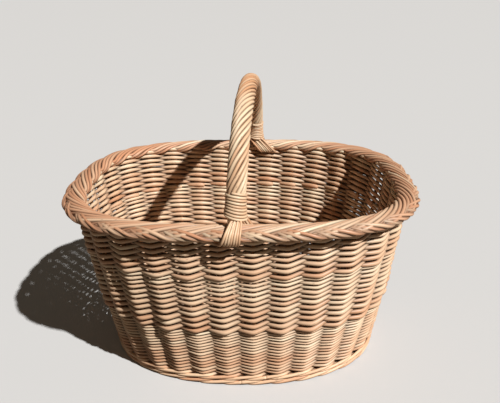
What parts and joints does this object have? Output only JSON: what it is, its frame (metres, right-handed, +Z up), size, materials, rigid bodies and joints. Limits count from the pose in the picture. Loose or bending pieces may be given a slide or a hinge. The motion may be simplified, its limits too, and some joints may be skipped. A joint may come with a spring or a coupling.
{
  "type": "mushroom foraging basket",
  "caption": "Oval willow basket with upright stakes in randed siding, a plaited border and a fixed roped cross handle bound at each foot.",
  "frame": {"origin": "centre of the basket's underside, on the floor that it stands on", "axes": "+X along the basket's length, +Y across it, in the handle's plane but for the handle's slight turn, +Z up"},
  "size_m": [0.5, 0.3825, 0.413],
  "materials": {
    "weaving_rod": "satin buff willow rods",
    "stake": "satin buff willow rods",
    "base_stick": "satin buff willow sticks",
    "border_rod": "satin buff willow rods",
    "handle_bow": "satin stout willow rod",
    "handle_rod": "satin pale willow rods"
  },
  "bodies": {
    "root": {"base_weave": "weaving_rod", "base_long_stick_1": "base_stick", "base_long_stick_2": "base_stick", "base_long_stick_3": "base_stick", "base_cross_stick_1": "base_stick", "base_cross_stick_2": "base_stick", "base_cross_stick_3": "base_stick", "base_cross_stick_4": "base_stick", "base_cross_stick_5": "base_stick", "base_cross_stick_6": "base_stick", "base_cross_stick_7": "base_stick", "upsett_wale": "weaving_rod", "lower_band": "weaving_rod", "middle_band": "weaving_rod", "upper_band": "weaving_rod", "stake_01": "stake", "stake_02": "stake", "stake_03": "stake", "stake_04": "stake", "stake_05": "stake", "stake_06": "stake", "stake_07": "stake", "stake_08": "stake", "stake_09": "stake", "stake_10": "stake", "stake_11": "stake", "stake_12": "stake", "stake_13": "stake", "stake_14": "stake", "stake_15": "stake", "stake_16": "stake", "stake_17": "stake", "stake_18": "stake", "stake_19": "stake", "stake_20": "stake", "stake_21": "stake", "stake_22": "stake", "stake_23": "stake", "stake_24": "stake", "stake_25": "stake", "stake_26": "stake", "stake_27": "stake", "stake_28": "stake", "stake_29": "stake", "stake_30": "stake", "stake_31": "stake", "border_strand_1": "border_rod", "border_strand_2": "border_rod", "border_strand_3": "border_rod", "handle_bow": "handle_bow", "handle_wrap_1": "handle_rod", "handle_wrap_2": "handle_rod", "handle_wrap_3": "handle_rod", "front_binding": "handle_rod", "back_binding": "handle_rod", "front_outer_tie": "handle_rod", "front_inner_tie": "handle_rod", "back_outer_tie": "handle_rod", "back_inner_tie": "handle_rod"}
  },
  "joints": []
}
